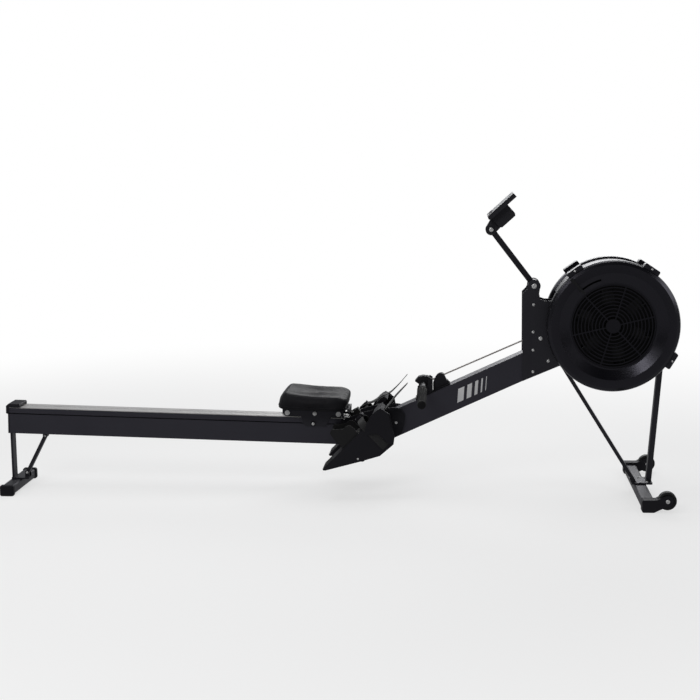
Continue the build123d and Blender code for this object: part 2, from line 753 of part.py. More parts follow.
strap_start, strap_width = 201, 27
toe_outline = [(125, 235), (118, 246), (117, 257), (124, 277), (137, 300), (151, 316), (164, 325), (178, 327),
               (192, 318), (199, 310), (209, 266), (220, 234), (217, 207), (200.5, 203.5), (161.6, 241.6)]
with BuildPart() as toe_shells:
    for end in (-1, 1):
        with BuildSketch(side(max(end * board_outer, end * (board_outer + 6)))):
            with BuildLine():
                Polyline(*toe_outline, close=True)
            make_face()
        extrude(amount=6)
        with BuildSketch(side(max(end * board_inner, end * (board_outer + 6)), board_x, board_z, board_angle)):
            with BuildLine():
                Polyline((268, 0), (262, 12), (286, 13), (300, 9), (300, 0), close=True)
            make_face()
        extrude(amount=board_outer + 6 - board_inner)
        with BuildSketch(side(max(end * board_outer, end * (board_outer + 3.1)), board_x, board_z, board_angle)):
            with Locations((strap_start + strap_width / 2, -30)):
                Rectangle(strap_width + 1, 120)
        extrude(amount=3.1, mode=Mode.SUBTRACT)
save(toe_shells, "toe_shells")

for end, name in ((-1, "near"), (1, "far")):
    with BuildPart() as heel_cup:
        with BuildSketch(side(max(end * 66, end * 166), board_x, board_z, board_angle)):
            with BuildLine():
                Polyline((104, 0.3), (104, 30), (106, 56), (109, 68), (114, 67), (110, 54), (108.5, 30), (109, 4),
                         (176, 4), (181, 0.3), close=True)
            make_face()
        extrude(amount=100)
        for low, high in ((66, 69.5), (162.5, 166)):
            with BuildSketch(side(max(end * low, end * high), board_x, board_z, board_angle)):
                with BuildLine():
                    Polyline((104, 0.3), (104, 30), (106, 58), (110, 71), (124, 76), (133, 67), (152, 50), (174, 45),
                             (179, 40), (181, 28), (181, 0.3), close=True)
                make_face()
            extrude(amount=3.5)
    save(heel_cup, f"heel_cup_{name}")

strap_outline = [(172.8, -100), (172.8, 6), (162, 20), (116, 30), (72, 20), (59.2, 4), (59.2, -18), (61.7, -18),
                 (61.7, 3), (73.5, 17.4), (116, 27.3), (160.5, 17.4), (170.3, 5), (170.3, -100)]
with BuildPart() as foot_straps:
    for end in (-1, 1):
        with BuildSketch(Plane(origin=Vector(board_x, 0, board_z) + direction(board_angle) * strap_start,
                               x_dir=(0, 1, 0), z_dir=direction(board_angle))):
            with BuildLine():
                Polyline(*[(end * y, n) for y, n in strap_outline], close=True)
            make_face()
        extrude(amount=strap_width)
save(foot_straps, "foot_straps")

with BuildPart() as strap_buckles:
    for end in (-1, 1):
        with BuildSketch(side(max(end * 102, end * 130), board_x, board_z, board_angle)):
            with Locations((strap_start + strap_width / 2, 34)):
                Rectangle(36, 7)
                Rectangle(30, 2.4, mode=Mode.SUBTRACT)
        extrude(amount=28)
save(strap_buckles, "strap_buckles")

# ---------------------------------------------------------------- seat
carriage_top = rail_top + 2 * roller_radius + 6
with BuildPart() as seat_carriage:
    with BuildSketch(side(52, *rail_origin, -rail_slope)):
        with BuildLine():
            Polyline((-172, carriage_top - 4), (-172, carriage_top), (stop_u - 0.3, carriage_top),
                     (stop_u - 0.3, rail_top + 8), (stop_u - 4, rail_top + 8), (stop_u - 4, carriage_top - 4), close=True)
        make_face()
    extrude(amount=104)
    for outer_y in (48, -44.5):
        with BuildSketch(side(outer_y, *rail_origin, -rail_slope)):
            with BuildLine():
                Polyline((roller_rear_u - 18, carriage_top), (roller_rear_u - 18, rail_top + 9),
                         (roller_rear_u - 8, rail_top + 4), (-124, rail_top + 4), (-108, 64), (-33, 64),
                         (-14, rail_top + 4), (roller_front_u + 8, rail_top + 4), (roller_front_u + 18, rail_top + 9),
                         (roller_front_u + 18, carriage_top), close=True)
            make_face()
            with Locations((roller_rear_u, rail_top + roller_radius), (roller_front_u, rail_top + roller_radius),
                           (shoe_u, slot_middle)):
                Circle(4, mode=Mode.SUBTRACT)
        extrude(amount=3.5)
save(seat_carriage, "seat_carriage")

with BuildPart() as roller_axles:
    for u in (roller_rear_u, roller_front_u):
        with BuildSketch(side(52, *on_rail(u, rail_top + roller_radius))):
            Circle(4)
        extrude(amount=104)
        for head_y in (52, -48):
            with BuildSketch(side(head_y, *on_rail(u, rail_top + roller_radius))):
                Circle(9)
            extrude(amount=4)
save(roller_axles, "roller_axles")

for label, u in (("rear_rollers", roller_rear_u), ("front_rollers", roller_front_u)):
    with BuildPart() as rollers:
        for end in (-1, 1):
            with BuildSketch(side(end * 31 + 8, *on_rail(u, rail_top + roller_radius))):
                Circle(roller_radius - 0.05)
                Circle(4 + running, mode=Mode.SUBTRACT)
            extrude(amount=16)
        rims = rollers.edges().filter_by(GeomType.CIRCLE).filter_by(lambda e: e.radius > 10)
        chamfer(rims, 1.5)
    save(rollers, label)

with BuildPart() as guide_shoes:
    for end in (-1, 1):
        x, z = on_rail(shoe_u, slot_middle)
        with BuildSketch(side(max(end * 35, end * 44.4), x, z, -rail_slope)):
            Rectangle(34, slot_height - 0.8)
        extrude(amount=9.4)
        with BuildSketch(side(max(end * 44.4, end * 52), x, z)):
            Circle(4)
        extrude(amount=7.6)
        with BuildSketch(side(max(end * 48, end * 52), x, z)):
            Circle(9)
        extrude(amount=4)
save(guide_shoes, "guide_shoes")


def on_carriage(v):
    """Plane parallel to the rail's top, at a height above the rail's underside, centred on the seat."""
    x, z = on_rail(seat_u, v)
    return Plane(origin=(x, 0, z), x_dir=direction(-rail_slope), z_dir=direction(90 - rail_slope))


with BuildPart() as seat_pan:
    with BuildSketch(on_carriage(carriage_top)):
        RectangleRounded(2 * seat_half_length - 24, 2 * seat_half_width - 30, 24)
    extrude(amount=7)
save(seat_pan, "seat_pan")

with BuildPart() as seat_pad:
    with BuildSketch(on_carriage(carriage_top + 7)):
        RectangleRounded(2 * seat_half_length, 2 * seat_half_width, 34)
    extrude(amount=44, taper=6)
save(seat_pad, "seat_pad")

# ---------------------------------------------------------------- monitor arm and head
arm_run = math.dist((pivot_x, pivot_z), (head_x, head_z))
arm_angle = math.degrees(math.atan2(head_z - pivot_z, head_x - pivot_x))
with BuildPart() as monitor_arm:
    with BuildSketch(side(12, pivot_x, pivot_z, arm_angle)):
        with Locations((arm_run / 2, 0)):
            SlotCenterToCenter(arm_run, 20)
        with Locations((0, 0), (arm_run, 0)):
            Circle(20)
    extrude(amount=24)
    with BuildSketch(side(plate_inner - 0.3, pivot_x, pivot_z)):
        Circle(20)
    extrude(amount=2 * plate_inner - 0.6)
    with BuildSketch(side(60, pivot_x, pivot_z)):
        Circle(5 + running)
    extrude(amount=120, mode=Mode.SUBTRACT)
    with BuildSketch(side(21, head_x, head_z)):
        Circle(5)
    extrude(amount=42)
    for head_y in (21, -17):
        with BuildSketch(side(head_y, head_x, head_z)):
            Circle(10)
        extrude(amount=4)
save(monitor_arm, "monitor_arm")

with BuildPart() as monitor_back:
    with BuildSketch(side(46, head_x, head_z, face_angle)):
        with BuildLine():
            Polyline((28, 30), (28, -12), (34, -18), (94, -18), (99, -11), (99, 30), close=True)
        make_face()
    extrude(amount=92)
    with BuildSketch(side(12.4, head_x, head_z, face_angle)):
        with Locations((40, 3)):
            Rectangle(45, 46)
    extrude(amount=24.8, mode=Mode.SUBTRACT)
    for outer_y in (16.4, -12.4):
        with BuildSketch(side(outer_y, head_x, head_z, face_angle)):
            Circle(20)
            with BuildLine():
                Polyline((-8, 18), (28, 30), (34, 0), (28, -16), (8, -18), close=True)
            make_face()
            Circle(5 + running, mode=Mode.SUBTRACT)
        extrude(amount=4)
save(monitor_back, "monitor_back")

face_half = 78
button_row = 38
button_spots = {"left": -32, "middle": 0, "right": 32}
screen_low, screen_high = 56, 132
face_plane = Plane(origin=Vector(head_x, 0, head_z) + direction(face_angle + 90) * 46,
                   x_dir=direction(face_angle), z_dir=direction(face_angle + 90))
with BuildPart() as monitor_case:
    with BuildSketch(side(face_half, head_x, head_z, face_angle)):
        with BuildLine():
            Polyline((22, 30), (18, 36), (22, 46), (141, 46), (141, 30), close=True)
        make_face()
    extrude(amount=2 * face_half)
    with BuildSketch(side(face_half - 4, head_x, head_z, face_angle)):
        with Locations((81, 37)):
            Rectangle(112, 8)
    extrude(amount=2 * face_half - 8, mode=Mode.SUBTRACT)
    with BuildSketch(face_plane):
        with Locations(((screen_low + screen_high) / 2, 0)):
            Rectangle(screen_high - screen_low, 128)
    extrude(amount=-2, mode=Mode.SUBTRACT)
    with BuildSketch(face_plane):
        with Locations(*[(button_row, y) for y in button_spots.values()]):
            Circle(7.6)
    extrude(amount=-7, mode=Mode.SUBTRACT)
save(monitor_case, "monitor_case")

with BuildPart() as monitor_screen:
    with BuildSketch(face_plane):
        with Locations(((screen_low + screen_high) / 2, 0)):
            Rectangle(screen_high - screen_low, 128)
    extrude(amount=-2)
save(monitor_screen, "monitor_screen")

for name, y in button_spots.items():
    with BuildPart() as monitor_button:
        with BuildSketch(face_plane.offset(-4.5)):
            with Locations((button_row, y)):
                Circle(7.5)
        extrude(amount=6.5)
        top = monitor_button.faces().sort_by(Axis(face_plane.origin, face_plane.z_dir))[-1]
        fillet(top.edges(), 1)
    save(monitor_button, f"monitor_button_{name}")
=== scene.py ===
import json
import math

import bmesh
import bpy
from mathutils import Matrix, Vector


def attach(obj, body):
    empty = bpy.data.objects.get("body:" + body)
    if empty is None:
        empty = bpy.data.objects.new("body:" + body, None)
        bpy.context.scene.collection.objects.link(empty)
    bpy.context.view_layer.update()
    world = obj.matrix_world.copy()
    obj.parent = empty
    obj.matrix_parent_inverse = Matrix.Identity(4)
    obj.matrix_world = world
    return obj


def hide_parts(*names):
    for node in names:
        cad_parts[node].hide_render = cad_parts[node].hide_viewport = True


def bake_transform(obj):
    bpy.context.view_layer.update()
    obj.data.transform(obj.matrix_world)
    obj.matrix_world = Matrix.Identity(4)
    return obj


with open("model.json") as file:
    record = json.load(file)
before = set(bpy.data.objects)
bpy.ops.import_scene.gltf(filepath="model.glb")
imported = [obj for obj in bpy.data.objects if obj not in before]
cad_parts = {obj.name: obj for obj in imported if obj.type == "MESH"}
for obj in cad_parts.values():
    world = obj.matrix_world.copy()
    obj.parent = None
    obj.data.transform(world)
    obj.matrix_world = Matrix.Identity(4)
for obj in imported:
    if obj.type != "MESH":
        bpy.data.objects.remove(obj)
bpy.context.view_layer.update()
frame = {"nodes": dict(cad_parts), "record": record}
nodes = frame["nodes"]
scene = bpy.context.scene

MM = 0.001
Y_AXIS = Vector((0, 1, 0))
AXLE = Vector((0.974, 0, 0.604))
SIDES = ((-1, "near"), (1, "far"))


def heading(degrees):
    """Unit vector in the side view, measured up from the floor line."""
    a = math.radians(degrees)
    return Vector((math.cos(a), 0, math.sin(a)))


# ------------------------------------------------------------------ camera, floor and light
CAMERA_PLACE = Vector((0.4648, -4.9835, 1.2493))
YAW, PITCH, ROLL = 0.082, 0.147, -0.013
look = Vector((-math.sin(YAW) * math.cos(PITCH), math.cos(YAW) * math.cos(PITCH), -math.sin(PITCH)))
right = Vector((math.cos(YAW), math.sin(YAW), 0))
up = right.cross(look)
right, up = right * math.cos(ROLL) + up * math.sin(ROLL), up * math.cos(ROLL) - right * math.sin(ROLL)
lens = bpy.data.cameras.new("camera")
lens.lens = 72.84
lens.sensor_width = 36
camera = bpy.data.objects.new("camera", lens)
camera.matrix_world = Matrix.Translation(CAMERA_PLACE) @ Matrix((right, up, -look)).transposed().to_4x4()
scene.collection.objects.link(camera)
scene.camera = camera
scene.view_settings.view_transform = "Standard"

BACKDROP = 1.0


def new_material(name):
    material = bpy.data.materials.new(name)
    material.use_nodes = True
    tree = material.node_tree
    return material, tree, tree.nodes["Principled BSDF"]


world = bpy.data.worlds.new("studio")
world.use_nodes = True
scene.world = world
tree = world.node_tree
backdrop = tree.nodes["Background"]
backdrop.inputs["Color"].default_value = (BACKDROP, BACKDROP, BACKDROP, 1)
room = tree.nodes.new("ShaderNodeBackground")
room.inputs["Color"].default_value = (0.95, 0.97, 1.0, 1)
around = tree.nodes.new("ShaderNodeTexCoord")
parts = tree.nodes.new("ShaderNodeSeparateXYZ")
depth = tree.nodes.new("ShaderNodeMapRange")
depth.interpolation_type = "SMOOTHSTEP"
depth.inputs["From Min"].default_value = -0.1
depth.inputs["From Max"].default_value = 0.9
depth.inputs["To Min"].default_value = 0.05
depth.inputs["To Max"].default_value = 0.42
tree.links.new(around.outputs["Generated"], parts.inputs["Vector"])
tree.links.new(parts.outputs["Y"], depth.inputs["Value"])
tree.links.new(depth.outputs["Result"], room.inputs["Strength"])
rays = tree.nodes.new("ShaderNodeLightPath")
seen = tree.nodes.new("ShaderNodeMixShader")
tree.links.new(rays.outputs["Is Camera Ray"], seen.inputs["Fac"])
tree.links.new(room.outputs["Background"], seen.inputs[1])
tree.links.new(backdrop.outputs["Background"], seen.inputs[2])
tree.links.new(seen.outputs["Shader"], tree.nodes["World Output"].inputs["Surface"])

# The floor is a wide pale disc: matte and shadowed under the machine, and as white as the backdrop far out.
floor_mesh = bpy.data.meshes.new("floor")
floor_builder = bmesh.new()
bmesh.ops.create_circle(floor_builder, cap_ends=True, segments=96, radius=40)
floor_builder.to_mesh(floor_mesh)
floor_builder.free()
floor = bpy.data.objects.new("floor", floor_mesh)
floor.location.z = -0.0002
scene.collection.objects.link(floor)
material, tree, shader = new_material("floor_white")
shader.inputs["Base Color"].default_value = (0.82, 0.82, 0.82, 1)
shader.inputs["Roughness"].default_value = 0.9
shader.inputs["Specular IOR Level"].default_value = 0.1
glow = tree.nodes.new("ShaderNodeEmission")
glow.inputs["Color"].default_value = (BACKDROP, BACKDROP, BACKDROP, 1)
dim = tree.nodes.new("ShaderNodeEmission")
dim.inputs["Color"].default_value = (0.33, 0.33, 0.335, 1)
spot = tree.nodes.new("ShaderNodeTexCoord")
reach = tree.nodes.new("ShaderNodeVectorMath")
reach.operation = "LENGTH"
fade = tree.nodes.new("ShaderNodeMapRange")
fade.interpolation_type = "SMOOTHSTEP"
fade.inputs["From Min"].default_value = 1.3
fade.inputs["From Max"].default_value = 4.0
fade.inputs["To Min"].default_value = 0.62
rays = tree.nodes.new("ShaderNodeLightPath")
ground = tree.nodes.new("ShaderNodeMixShader")
seen = tree.nodes.new("ShaderNodeMixShader")
tree.links.new(spot.outputs["Object"], reach.inputs[0])
tree.links.new(reach.outputs["Value"], fade.inputs["Value"])
tree.links.new(fade.outputs["Result"], ground.inputs["Fac"])
tree.links.new(shader.outputs["BSDF"], ground.inputs[1])
tree.links.new(glow.outputs["Emission"], ground.inputs[2])
tree.links.new(rays.outputs["Is Camera Ray"], seen.inputs["Fac"])
tree.links.new(dim.outputs["Emission"], seen.inputs[1])
tree.links.new(ground.outputs["Shader"], seen.inputs[2])
tree.links.new(seen.outputs["Shader"], tree.nodes["Material Output"].inputs["Surface"])
floor_mesh.materials.append(material)


def soft_box(name, place, target, size, watts):
    lamp = bpy.data.lights.new(name, "AREA")
    lamp.shape = "RECTANGLE"
    lamp.size, lamp.size_y = size
    lamp.energy = watts
    holder = bpy.data.objects.new(name, lamp)
    holder.location = place
    holder.rotation_euler = (Vector(target) - Vector(place)).to_track_quat("-Z", "Y").to_euler()
    scene.collection.objects.link(holder)


soft_box("overhead", (-0.2, 0.3, 3.4), (0.1, 0, 0), (4.4, 1.2), 48)
soft_box("front", (-1.4, -3.8, 3.0), (0.1, 0, 0.4), (2.4, 1.0), 48)
soft_box("back", (0.8, 3.6, 2.0), (0.2, 0, 0.4), (3.0, 1.2), 40)
soft_box("left", (-3.6, -0.8, 1.6), (-0.6, 0, 0.3), (1.6, 1.2), 16)
soft_box("right", (3.6, -1.2, 1.8), (0.8, 0, 0.5), (1.6, 1.2), 16)


# ------------------------------------------------------------------ materials
def link_noise(tree, scale, detail=3.0, stretch=None, seed=0.0):
    """A noise texture in metres on the object's own coordinates; scale is in features per metre."""
    coordinates = tree.nodes.new("ShaderNodeTexCoord")
    mapping = tree.nodes.new("ShaderNodeMapping")
    mapping.inputs["Location"].default_value = (seed, seed * 0.7, seed * 0.3)
    if stretch:
        mapping.inputs["Scale"].default_value = stretch
    noise = tree.nodes.new("ShaderNodeTexNoise")
    noise.inputs["Scale"].default_value = scale
    noise.inputs["Detail"].default_value = detail
    tree.links.new(coordinates.outputs["Object"], mapping.inputs["Vector"])
    tree.links.new(mapping.outputs["Vector"], noise.inputs["Vector"])
    return noise.outputs["Fac"]


def ramp(tree, value, stops):
    node = tree.nodes.new("ShaderNodeValToRGB")
    elements = node.color_ramp.elements
    while len(elements) < len(stops):
        elements.new(0.5)
    for element, (position, colour) in zip(elements, stops):
        element.position = position
        element.color = (*colour, 1)
    tree.links.new(value, node.inputs["Fac"])
    return node.outputs["Color"]


def spread(tree, value, low, high, start=0.3, stop=0.7):
    node = tree.nodes.new("ShaderNodeMapRange")
    node.inputs["From Min"].default_value = start
    node.inputs["From Max"].default_value = stop
    node.inputs["To Min"].default_value = low
    node.inputs["To Max"].default_value = high
    tree.links.new(value, node.inputs["Value"])
    return node.outputs["Result"]


def bump(tree, shader, value, depth):
    node = tree.nodes.new("ShaderNodeBump")
    node.inputs["Distance"].default_value = depth
    node.inputs["Strength"].default_value = 1.0
    tree.links.new(value, node.inputs["Height"])
    tree.links.new(node.outputs["Normal"], shader.inputs["Normal"])


def mix_colour(tree, factor, first, second):
    node = tree.nodes.new("ShaderNodeMix")
    node.data_type = "RGBA"
    if isinstance(factor, float):
        node.inputs["Factor"].default_value = factor
    else:
        tree.links.new(factor, node.inputs["Factor"])
    tree.links.new(first, node.inputs["A"])
    if isinstance(second, tuple):
        node.inputs["B"].default_value = (*second, 1)
    else:
        tree.links.new(second, node.inputs["B"])
    return node.outputs["Result"]


def worn_edges(tree, colour, tint, amount):
    """Lightens convex edges a little, as handling does."""
    geometry = tree.nodes.new("ShaderNodeNewGeometry")
    edge = spread(tree, geometry.outputs["Pointiness"], 0.0, amount, 0.53, 0.62)
    return mix_colour(tree, edge, colour, tint)


def coated(name, dark, light, rough, grain_per_m, grain_depth, specular=0.5, seed=0.0, edge=None,
           tint=(0.86, 0.84, 1.0)):
    """A painted, anodised or moulded surface: mottled colour, uneven gloss, fine grain and paler edges."""
    material, tree, shader = new_material(name)
    mottled = link_noise(tree, 9.0, 4.0, seed=seed)
    colour = ramp(tree, mottled, ((0.35, dark), (0.68, light)))
    specks = link_noise(tree, 420.0, 2.0, seed=seed + 3)
    pale = tuple(min(1.0, c * 1.35 + 0.002) for c in light)
    colour = mix_colour(tree, spread(tree, specks, 0.0, 0.35, 0.52, 0.72), colour, pale)
    if edge:
        colour = worn_edges(tree, colour, edge, 0.5)
    tree.links.new(colour, shader.inputs["Base Color"])
    smear = link_noise(tree, 5.0, 5.0, seed=seed + 7)
    tree.links.new(spread(tree, smear, rough - 0.06, rough + 0.07), shader.inputs["Roughness"])
    grain = link_noise(tree, grain_per_m, 3.0, seed=seed + 11)
    bump(tree, shader, grain, grain_depth)
    shader.inputs["Specular IOR Level"].default_value = specular
    shader.inputs["Specular Tint"].default_value = (*tint, 1)
    return material


def brushed(name, dark, light, rough, along, metal=1.0):
    """Metal with fine scratches along one axis."""
    material, tree, shader = new_material(name)
    streaks = link_noise(tree, 900.0, 3.0, stretch=along)
    patches = link_noise(tree, 6.0, 4.0, seed=2.0)
    colour = ramp(tree, patches, ((0.3, dark), (0.7, light)))
    colour = mix_colour(tree, spread(tree, streaks, 0.0, 0.35), colour, tuple(c * 0.6 for c in dark))
    tree.links.new(colour, shader.inputs["Base Color"])
    tree.links.new(spread(tree, streaks, rough - 0.08, rough + 0.1), shader.inputs["Roughness"])
    bump(tree, shader, streaks, 0.00002)
    shader.inputs["Metallic"].default_value = metal
    return material


def rubbery(name, dark, light, rough, seed=0.0, specular=0.35, sheen=0.15):
    """Matte rubber or soft foam: dusty colour changes, pores and a faint sheen."""
    material, tree, shader = new_material(name)
    dust = link_noise(tree, 26.0, 6.0, seed=seed)
    colour = ramp(tree, dust, ((0.3, dark), (0.75, light)))
    tree.links.new(colour, shader.inputs["Base Color"])
    tree.links.new(spread(tree, dust, rough - 0.05, rough + 0.08), shader.inputs["Roughness"])
    pores = link_noise(tree, 1500.0, 2.0, seed=seed + 5)
    bump(tree, shader, pores, 0.00008)
    shader.inputs["Specular IOR Level"].default_value = specular
    shader.inputs["Sheen Weight"].default_value = sheen
    shader.inputs["Sheen Roughness"].default_value = 0.5
    return material


def woven(name, dark, light):
    """Strap webbing: ribs across the strap and a finer twill along it, on the strap's own UV in metres."""
    material, tree, shader = new_material(name)
    uv = tree.nodes.new("ShaderNodeUVMap")
    uv.uv_map = "strap"
    waves = []
    for direction, scale in (("X", 520.0), ("Y", 310.0), ("DIAGONAL", 420.0)):
        wave = tree.nodes.new("ShaderNodeTexWave")
        wave.bands_direction = direction
        wave.inputs["Scale"].default_value = scale / 6.283
        wave.inputs["Distortion"].default_value = 0.4
        tree.links.new(uv.outputs["UV"], wave.inputs["Vector"])
        waves.append(wave.outputs["Fac"])
    weave = tree.nodes.new("ShaderNodeMath")
    weave.operation = "MULTIPLY"
    tree.links.new(waves[0], weave.inputs[0])
    tree.links.new(waves[1], weave.inputs[1])
    both = tree.nodes.new("ShaderNodeMath")
    both.operation = "ADD"
    tree.links.new(weave.outputs["Value"], both.inputs[0])
    tree.links.new(waves[2], both.inputs[1])
    fuzz = link_noise(tree, 900.0, 3.0)
    colour = ramp(tree, both.outputs["Value"], ((0.2, dark), (1.0, light)))
    colour = mix_colour(tree, spread(tree, fuzz, 0.0, 0.5), colour, tuple(c * 1.8 for c in light))
    tree.links.new(colour, shader.inputs["Base Color"])
    shader.inputs["Roughness"].default_value = 0.82
    shader.inputs["Sheen Weight"].default_value = 0.3
    bump(tree, shader, both.outputs["Value"], 0.00025)
    return material


MATERIALS = {
    "rail_paint": coated("rail_paint_finish", (0.0080, 0.0074, 0.0108), (0.0138, 0.0128, 0.0184), 0.44, 700.0, 0.00003,
                         specular=0.72, seed=1.0, edge=(0.020, 0.020, 0.025)),
    "frame_paint": coated("frame_paint_finish", (0.0074, 0.0070, 0.0092), (0.0098, 0.0094, 0.0120),
                          0.44, 900.0, 0.00006, specular=0.46, seed=2.0, edge=(0.024, 0.024, 0.026)),
    "black_plastic": coated("black_plastic_finish", (0.0040, 0.0040, 0.0047), (0.0062, 0.0062, 0.0070), 0.52, 1300.0,
                            0.00006, specular=0.3, seed=3.0, edge=(0.014, 0.014, 0.015)),
    "joint_plastic": coated("joint_plastic_finish", (0.0040, 0.0040, 0.0048), (0.0058, 0.0058, 0.0066), 0.56, 1500.0,
                            0.00008, specular=0.28, seed=4.0, edge=(0.012, 0.012, 0.013)),
    "shell_plastic": coated("shell_plastic_finish", (0.0048, 0.0047, 0.0056), (0.0070, 0.0069, 0.0080), 0.55, 1500.0,
                            0.00008, specular=0.28, seed=5.0, edge=(0.014, 0.014, 0.015)),
    "cage_plastic": coated("cage_plastic_finish", (0.0012, 0.0011, 0.0020), (0.0022, 0.0021, 0.0032), 0.28, 1100.0,
                           0.00004, specular=0.45, seed=6.0, edge=(0.02, 0.02, 0.023)),
    "grille_plastic": coated("grille_plastic_finish", (0.0024, 0.0023, 0.0032), (0.0036, 0.0035, 0.0046), 0.40, 1200.0,
                             0.00004, specular=0.35, seed=7.0),
    "lever_plastic": coated("lever_plastic_finish", (0.008, 0.008, 0.0085), (0.012, 0.012, 0.0125), 0.4, 1200.0,
                            0.00004, specular=0.5, seed=8.0),
    "arm_plastic": coated("arm_plastic_finish", (0.0055, 0.0055, 0.0064), (0.0075, 0.0075, 0.0085), 0.42, 1200.0,
                          0.00004, specular=0.4, seed=9.0, edge=(0.018, 0.018, 0.02)),
    "case_plastic": coated("case_plastic_finish", (0.0052, 0.0052, 0.0060), (0.0074, 0.0074, 0.0082), 0.45, 1400.0,
                           0.00007, specular=0.4, seed=10.0, edge=(0.018, 0.018, 0.019)),
    "handle_metal": coated("handle_metal_finish", (0.005, 0.005, 0.005), (0.008, 0.008, 0.008), 0.4, 900.0, 0.00004,
                           specular=0.4, seed=11.0),
    "roller_plastic": coated("roller_plastic_finish", (0.012, 0.012, 0.013), (0.018, 0.018, 0.019),
                             0.42, 900.0, 0.00004, specular=0.4, seed=12.0),
    "button_plastic": coated("button_plastic_finish", (0.05, 0.05, 0.052), (0.075, 0.075, 0.078), 0.55, 1400.0,
                             0.00005, specular=0.4, seed=13.0),
    "stripe_paint": coated("stripe_paint_finish", (0.70, 0.70, 0.71), (0.80, 0.80, 0.81), 0.5, 1400.0,
                           0.00002, specular=0.3, seed=14.0, tint=(1.0, 1.0, 1.0)),
    "heel_plastic": rubbery("heel_plastic_finish", (0.0036, 0.0036, 0.0042), (0.0056, 0.0056, 0.0062), 0.68, 1.0),
    "black_rubber": rubbery("black_rubber_finish", (0.0040, 0.0040, 0.0043), (0.007, 0.007, 0.0074), 0.72, 2.0),
    "grip_rubber": rubbery("grip_rubber_finish", (0.0026, 0.0026, 0.0031), (0.0046, 0.0046, 0.0052),
                           0.75, 3.0, 0.22, 0.06),
    "wheel_plastic": rubbery("wheel_plastic_finish", (0.0055, 0.0055, 0.0060), (0.0095, 0.0095, 0.0102), 0.55, 4.0),
    "seat_cover": rubbery("seat_cover_finish", (0.0125, 0.0122, 0.0143), (0.0175, 0.0170, 0.0195),
                          0.46, 5.0, 0.06, 0.0),
    "track_steel": brushed("track_steel_finish", (0.52, 0.51, 0.50), (0.68, 0.67, 0.66), 0.34, (0.02, 1.0, 1.0), 0.35),
    "zinc": brushed("zinc_finish", (0.70, 0.70, 0.70), (0.88, 0.88, 0.87), 0.3, (1.0, 1.0, 1.0), 0.3),
    "chain_steel": brushed("chain_steel_finish", (0.50, 0.46, 0.44), (0.68, 0.64, 0.62), 0.34, (1.0, 1.0, 1.0), 0.5),
    "bearing_steel": brushed("bearing_steel_finish", (0.45, 0.45, 0.46), (0.6, 0.6, 0.61),
                             0.28, (1.0, 0.05, 1.0), 0.7),
    "fan_metal": brushed("fan_metal_finish", (0.006, 0.006, 0.007), (0.010, 0.010, 0.011), 0.5, (1.0, 0.2, 1.0), 0.2),
    "disc_steel": brushed("disc_steel_finish", (0.02, 0.02, 0.02), (0.03, 0.03, 0.03), 0.4, (1.0, 0.2, 1.0), 0.6),
    "cord_fabric": rubbery("cord_fabric_finish", (0.006, 0.006, 0.006), (0.012, 0.012, 0.012), 0.8, 6.0),
    "strap_fabric": woven("strap_fabric_finish", (0.0026, 0.0026, 0.0030), (0.0070, 0.0070, 0.0078)),
}

# The damper is one moulding: its shutter ring is dead black, and its lever outside the grille is satin.
damper_finish, tree, shader = new_material("damper_finish")
place = tree.nodes.new("ShaderNodeTexCoord")
shift = tree.nodes.new("ShaderNodeVectorMath")
shift.operation = "SUBTRACT"
shift.inputs[1].default_value = tuple(AXLE)
flatten = tree.nodes.new("ShaderNodeVectorMath")
flatten.operation = "MULTIPLY"
flatten.inputs[1].default_value = (1, 0, 1)
radius = tree.nodes.new("ShaderNodeVectorMath")
radius.operation = "LENGTH"
tree.links.new(place.outputs["Object"], shift.inputs[0])
tree.links.new(shift.outputs["Vector"], flatten.inputs[0])
tree.links.new(flatten.outputs["Vector"], radius.inputs[0])
SHUTTER_EDGE = 0.15
outside = spread(tree, radius.outputs["Value"], 0.0, 1.0, SHUTTER_EDGE - 0.002, SHUTTER_EDGE + 0.002)
mottled = link_noise(tree, 30.0, 4.0, seed=21.0)
shutter_black = ramp(tree, mottled, ((0.3, (0.0006, 0.0006, 0.0007)), (0.7, (0.0010, 0.0010, 0.0012))))
tree.links.new(mix_colour(tree, outside, shutter_black, (0.016, 0.016, 0.018)), shader.inputs["Base Color"])
tree.links.new(spread(tree, mottled, 0.55, 0.65), shader.inputs["Roughness"])
bump(tree, shader, link_noise(tree, 1200.0, 2.0), 0.00004)
shader.inputs["Specular IOR Level"].default_value = 0.12
MATERIALS["damper_finish"] = damper_finish

# The slack chain behind the plates shows its links as bright steel plates along its run, with painted shade in the
# gaps between them.
loop_finish, tree, shader = new_material("chain_loop_finish")
place = tree.nodes.new("ShaderNodeTexCoord")
cells = tree.nodes.new("ShaderNodeTexVoronoi")
LINKS_PER_M = 157.0
cells.inputs["Scale"].default_value = LINKS_PER_M
tree.links.new(place.outputs["Object"], cells.inputs["Vector"])
# The dark end of this ramp is painted shade for the gaps between the links.
tree.links.new(ramp(tree, cells.outputs["Distance"], ((0.2, (0.45, 0.44, 0.42)), (0.65, (0.05, 0.05, 0.05)))),
               shader.inputs["Base Color"])
tree.links.new(spread(tree, cells.outputs["Distance"], 0.3, 0.6), shader.inputs["Roughness"])
bump(tree, shader, cells.outputs["Distance"], 0.0012)
shader.inputs["Metallic"].default_value = 0.7
MATERIALS["chain_loop_finish"] = loop_finish

screen_glass, tree, shader = new_material("screen_finish")
smudge = link_noise(tree, 30.0, 4.0)
glass_colour = ramp(tree, smudge, ((0.3, (0.020, 0.023, 0.021)), (0.7, (0.026, 0.030, 0.027))))
tree.links.new(glass_colour, shader.inputs["Base Color"])
tree.links.new(spread(tree, smudge, 0.08, 0.2), shader.inputs["Roughness"])
shader.inputs["Coat Weight"].default_value = 0.6
MATERIALS["screen"] = screen_glass


